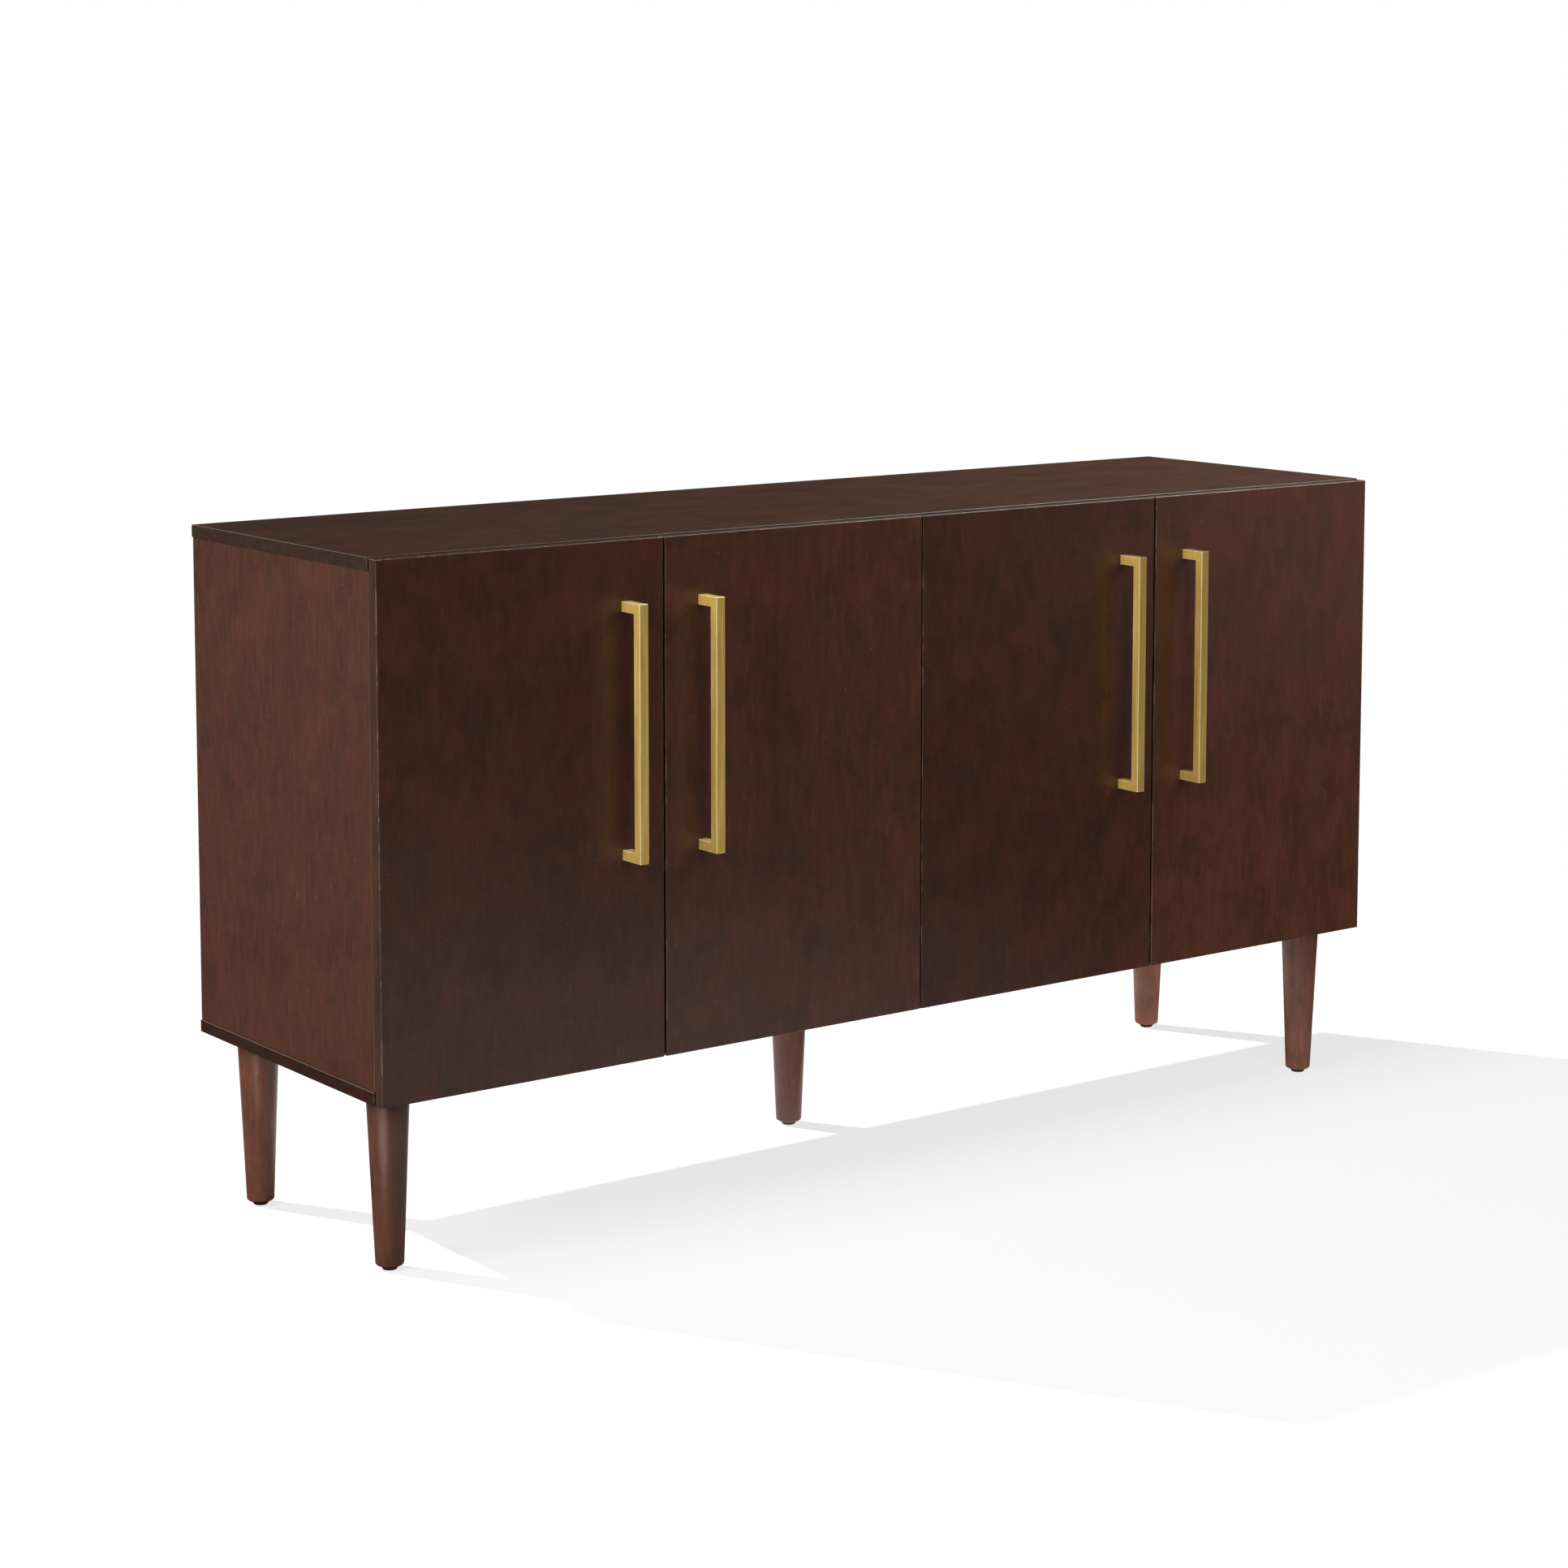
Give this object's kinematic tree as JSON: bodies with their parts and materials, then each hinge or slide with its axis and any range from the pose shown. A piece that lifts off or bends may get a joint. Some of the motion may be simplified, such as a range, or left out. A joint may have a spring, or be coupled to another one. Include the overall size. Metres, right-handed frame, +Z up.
{
  "type": "sideboard buffet",
  "caption": "Low wooden storage sideboard with side-hung doors on concealed hinges, bar pulls, adjustable shelves and tapered turned legs.",
  "frame": {"origin": "on the floor at the middle of the object's overall length and depth, the pulls included", "axes": "+Z up; the doors and pulls face -Y; +X is to the right of a person facing the doors"},
  "size_m": [1.524, 0.467, 0.818],
  "materials": {
    "dark_wood": "satin red-brown stained veneer",
    "back_board": "plain dark brown printed hardboard",
    "satin_brass": "satin brushed brass-gold plating",
    "hinge_steel": "nickel-plated pressed steel",
    "glide_plastic": "black moulded plastic"
  },
  "bodies": {
    "carcass": {"top_panel": "dark_wood", "bottom_panel": "dark_wood", "left_side": "dark_wood", "right_side": "dark_wood", "centre_partition": "dark_wood", "back_panel_left": "back_board", "back_panel_right": "back_board", "shelf_left": "dark_wood", "shelf_right": "dark_wood", "shelf_pin_left_inner_front": "hinge_steel", "shelf_pin_left_inner_back": "hinge_steel", "shelf_pin_left_outer_front": "hinge_steel", "shelf_pin_left_outer_back": "hinge_steel", "shelf_pin_right_inner_front": "hinge_steel", "shelf_pin_right_inner_back": "hinge_steel", "shelf_pin_right_outer_front": "hinge_steel", "shelf_pin_right_outer_back": "hinge_steel", "hinge_arm_1_lower": "hinge_steel", "hinge_arm_1_upper": "hinge_steel", "hinge_arm_2_lower": "hinge_steel", "hinge_arm_2_upper": "hinge_steel", "hinge_arm_3_lower": "hinge_steel", "hinge_arm_3_upper": "hinge_steel", "hinge_arm_4_lower": "hinge_steel", "hinge_arm_4_upper": "hinge_steel", "leg_front_left": "dark_wood", "leg_front_right": "dark_wood", "leg_back_left": "dark_wood", "leg_back_right": "dark_wood", "leg_centre": "dark_wood", "glide_front_left": "glide_plastic", "glide_front_right": "glide_plastic", "glide_back_left": "glide_plastic", "glide_back_right": "glide_plastic", "glide_centre": "glide_plastic"},
    "door_1_leaf": {"door_1": "dark_wood", "pull_1": "satin_brass", "hinge_cup_1_lower": "hinge_steel", "hinge_cup_1_upper": "hinge_steel"},
    "link_1_lower": {"hinge_link_1_lower": "hinge_steel"},
    "link_1_upper": {"hinge_link_1_upper": "hinge_steel"},
    "door_2_leaf": {"door_2": "dark_wood", "pull_2": "satin_brass", "hinge_cup_2_lower": "hinge_steel", "hinge_cup_2_upper": "hinge_steel"},
    "link_2_lower": {"hinge_link_2_lower": "hinge_steel"},
    "link_2_upper": {"hinge_link_2_upper": "hinge_steel"},
    "door_3_leaf": {"door_3": "dark_wood", "pull_3": "satin_brass", "hinge_cup_3_lower": "hinge_steel", "hinge_cup_3_upper": "hinge_steel"},
    "link_3_lower": {"hinge_link_3_lower": "hinge_steel"},
    "link_3_upper": {"hinge_link_3_upper": "hinge_steel"},
    "door_4_leaf": {"door_4": "dark_wood", "pull_4": "satin_brass", "hinge_cup_4_lower": "hinge_steel", "hinge_cup_4_upper": "hinge_steel"},
    "link_4_lower": {"hinge_link_4_lower": "hinge_steel"},
    "link_4_upper": {"hinge_link_4_upper": "hinge_steel"}
  },
  "joints": [
    {"name": "door_1_hinge", "type": "hinge", "parent": "carcass", "child": "door_1_leaf", "pos_m": [-0.761, -0.1965, 0.5115], "axis": [0, 0, -1], "range_deg": [0, 95]},
    {"name": "link_1_lower_pivot", "type": "hinge", "parent": "door_1_leaf", "child": "link_1_lower", "pos_m": [-0.747, -0.186, 0.3015], "axis": [0, 0, -1], "range_deg": [-90.25, 0]},
    {"name": "link_1_upper_pivot", "type": "hinge", "parent": "door_1_leaf", "child": "link_1_upper", "pos_m": [-0.747, -0.186, 0.7215], "axis": [0, 0, -1], "range_deg": [-90.25, 0]},
    {"name": "door_2_hinge", "type": "hinge", "parent": "carcass", "child": "door_2_leaf", "pos_m": [-0.001, -0.1965, 0.5115], "axis": [0, 0, 1], "range_deg": [0, 83]},
    {"name": "link_2_lower_pivot", "type": "hinge", "parent": "door_2_leaf", "child": "link_2_lower", "pos_m": [-0.015, -0.186, 0.3015], "axis": [0, 0, 1], "range_deg": [-78.85, 0]},
    {"name": "link_2_upper_pivot", "type": "hinge", "parent": "door_2_leaf", "child": "link_2_upper", "pos_m": [-0.015, -0.186, 0.7215], "axis": [0, 0, 1], "range_deg": [-78.85, 0]},
    {"name": "door_3_hinge", "type": "hinge", "parent": "carcass", "child": "door_3_leaf", "pos_m": [0.001, -0.1965, 0.5115], "axis": [0, 0, -1], "range_deg": [0, 83]},
    {"name": "link_3_lower_pivot", "type": "hinge", "parent": "door_3_leaf", "child": "link_3_lower", "pos_m": [0.015, -0.186, 0.3015], "axis": [0, 0, -1], "range_deg": [-78.85, 0]},
    {"name": "link_3_upper_pivot", "type": "hinge", "parent": "door_3_leaf", "child": "link_3_upper", "pos_m": [0.015, -0.186, 0.7215], "axis": [0, 0, -1], "range_deg": [-78.85, 0]},
    {"name": "door_4_hinge", "type": "hinge", "parent": "carcass", "child": "door_4_leaf", "pos_m": [0.761, -0.1965, 0.5115], "axis": [0, 0, 1], "range_deg": [0, 95]},
    {"name": "link_4_lower_pivot", "type": "hinge", "parent": "door_4_leaf", "child": "link_4_lower", "pos_m": [0.747, -0.186, 0.3015], "axis": [0, 0, 1], "range_deg": [-90.25, 0]},
    {"name": "link_4_upper_pivot", "type": "hinge", "parent": "door_4_leaf", "child": "link_4_upper", "pos_m": [0.747, -0.186, 0.7215], "axis": [0, 0, 1], "range_deg": [-90.25, 0]}
  ],
  "couplings": [
    {"joint": "link_1_lower_pivot", "follows": "door_1_hinge", "ratio": -0.95},
    {"joint": "link_1_upper_pivot", "follows": "door_1_hinge", "ratio": -0.95},
    {"joint": "link_2_lower_pivot", "follows": "door_2_hinge", "ratio": -0.95},
    {"joint": "link_2_upper_pivot", "follows": "door_2_hinge", "ratio": -0.95},
    {"joint": "link_3_lower_pivot", "follows": "door_3_hinge", "ratio": -0.95},
    {"joint": "link_3_upper_pivot", "follows": "door_3_hinge", "ratio": -0.95},
    {"joint": "link_4_lower_pivot", "follows": "door_4_hinge", "ratio": -0.95},
    {"joint": "link_4_upper_pivot", "follows": "door_4_hinge", "ratio": -0.95}
  ]
}
